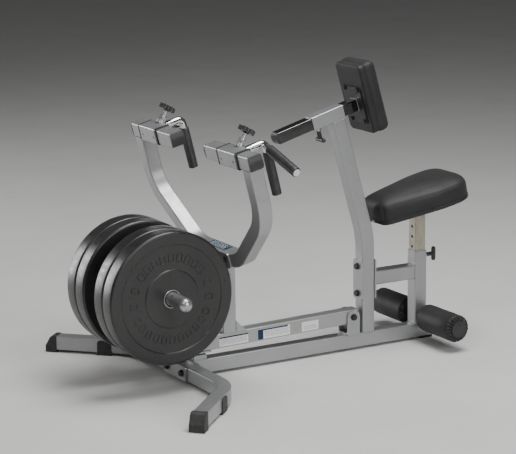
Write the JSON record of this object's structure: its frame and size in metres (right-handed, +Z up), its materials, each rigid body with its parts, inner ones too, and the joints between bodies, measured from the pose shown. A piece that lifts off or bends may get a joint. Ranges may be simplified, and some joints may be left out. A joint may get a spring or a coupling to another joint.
{
  "type": "plate-loaded lever row",
  "caption": "Plate-loaded seated row: lever arm with a yoke and sliding handles, weight horns, chest pad, adjustable seat and ankle rollers on a tube frame.",
  "frame": {"origin": "on the floor, under the middle of the machine", "axes": "+X to the seated user's left, +Y from the weight plates towards the seat, +Z up"},
  "size_m": [1.1664, 1.4734, 1.0374],
  "materials": {
    "silver_paint": "satin metallic",
    "black_plastic": "fine texture",
    "black_rubber": "matte",
    "grip_rubber": "satin",
    "plate_rubber": "matte",
    "black_steel": "satin",
    "chrome": "polished",
    "bright_steel": "turned",
    "zinc_steel": "dull zinc plated",
    "black_chrome": "black chrome",
    "black_vinyl": "smooth upholstery vinyl"
  },
  "bodies": {
    "frame": {"base_tube": "silver_paint", "base_end_cap": "black_plastic", "clamp_plates": "silver_paint", "frame_bolts": "black_steel", "front_stabilizer": "silver_paint", "stabilizer_end_feet": "black_rubber", "rubber_feet": "black_rubber", "pivot_bracket": "silver_paint", "pivot_bolt": "black_steel", "lever_rest": "silver_paint", "rest_bumper": "black_rubber", "upright": "silver_paint", "seat_frame": "silver_paint", "seat_receiver": "silver_paint", "roller_bar": "black_chrome", "roller_caps": "black_plastic", "chest_sleeve": "silver_paint", "pin_bosses": "bright_steel"},
    "lever": {"lever_tube": "silver_paint", "lever_bushes": "black_plastic", "tube_end_caps": "black_plastic", "lever_post": "silver_paint", "horn_beam": "silver_paint", "weight_horns": "bright_steel", "horn_end_plugs": "bright_steel", "yoke": "silver_paint", "yoke_plate": "silver_paint", "yoke_bolts": "black_steel", "handle_tubes": "silver_paint"},
    "left_handle": {"handle_sleeve_left": "silver_paint", "sleeve_guides_left": "black_plastic", "handle_bar_left": "chrome", "handle_grips_left": "grip_rubber"},
    "right_handle": {"handle_sleeve_right": "silver_paint", "sleeve_guides_right": "black_plastic", "handle_bar_right": "chrome", "handle_grips_right": "grip_rubber"},
    "left_pin": {"handle_pin_left": "black_plastic"},
    "right_pin": {"handle_pin_right": "black_plastic"},
    "seat": {"seat_post": "zinc_steel", "seat_bracket": "black_steel", "seat_bolts": "black_steel", "seat_pad": "black_vinyl"},
    "seat_lock": {"seat_pin": "black_plastic"},
    "chest": {"chest_tube": "black_chrome", "chest_tube_cap": "black_plastic", "chest_plate": "black_steel", "chest_bolts": "black_steel", "chest_pad": "black_vinyl"},
    "chest_lock": {"chest_pin": "black_plastic"},
    "left_roller": {"roller_left": "black_vinyl"},
    "right_roller": {"roller_right": "black_vinyl"},
    "left_inner_plate": {"plate_left_inner": "plate_rubber", "plate_bush_left_inner": "bright_steel"},
    "left_outer_plate": {"plate_left_outer": "plate_rubber", "plate_bush_left_outer": "bright_steel"},
    "right_inner_plate": {"plate_right_inner": "plate_rubber", "plate_bush_right_inner": "bright_steel"},
    "right_outer_plate": {"plate_right_outer": "plate_rubber", "plate_bush_right_outer": "bright_steel"}
  },
  "joints": [
    {"name": "lever_swing", "type": "hinge", "parent": "frame", "child": "lever", "pos_m": [0, 0.2774, 0.124], "axis": [-1, 0, 0], "range_deg": [0, 30]},
    {"name": "left_handle_slide", "type": "slide", "parent": "lever", "child": "left_handle", "axis": [1, 0, 0], "range_m": [-0.085, 0.01]},
    {"name": "right_handle_slide", "type": "slide", "parent": "lever", "child": "right_handle", "axis": [-1, 0, 0], "range_m": [-0.098, 0.001]},
    {"name": "left_pin_pull", "type": "slide", "parent": "left_handle", "child": "left_pin", "axis": [0, 0.5165, 0.8563], "range_m": [0, 0.01], "stiffness_N_per_m": 400, "springref_m": -0.004},
    {"name": "right_pin_pull", "type": "slide", "parent": "right_handle", "child": "right_pin", "axis": [0, 0.5165, 0.8563], "range_m": [0, 0.01], "stiffness_N_per_m": 400, "springref_m": -0.004},
    {"name": "seat_height", "type": "slide", "parent": "frame", "child": "seat", "axis": [0, 0, 1], "range_m": [-0.0368, 0.1104]},
    {"name": "seat_pin_pull", "type": "slide", "parent": "frame", "child": "seat_lock", "axis": [0, 1, 0], "range_m": [0, 0.01], "stiffness_N_per_m": 400, "springref_m": -0.004},
    {"name": "chest_slide", "type": "slide", "parent": "frame", "child": "chest", "axis": [0, 0.9627, 0.2706], "range_m": [-0.045, 0.12]},
    {"name": "chest_pin_pull", "type": "slide", "parent": "frame", "child": "chest_lock", "axis": [0, 0.2706, -0.9627], "range_m": [0, 0.01], "stiffness_N_per_m": 400, "springref_m": -0.004},
    {"name": "left_roller_spin", "type": "hinge", "parent": "frame", "child": "left_roller", "pos_m": [0, 0.5752, 0.086], "axis": [1, 0, 0], "continuous": true},
    {"name": "right_roller_spin", "type": "hinge", "parent": "frame", "child": "right_roller", "pos_m": [0, 0.5752, 0.086], "axis": [1, 0, 0], "continuous": true},
    {"name": "left_inner_plate_slide", "type": "slide", "parent": "lever", "child": "left_inner_plate", "axis": [1, 0, 0], "range_m": [0, 0.04]},
    {"name": "left_outer_plate_slide", "type": "slide", "parent": "left_inner_plate", "child": "left_outer_plate", "axis": [1, 0, 0], "range_m": [0, 0.045]},
    {"name": "right_inner_plate_slide", "type": "slide", "parent": "lever", "child": "right_inner_plate", "axis": [-1, 0, 0], "range_m": [0, 0.04]},
    {"name": "right_outer_plate_slide", "type": "slide", "parent": "right_inner_plate", "child": "right_outer_plate", "axis": [-1, 0, 0], "range_m": [0, 0.045]}
  ]
}
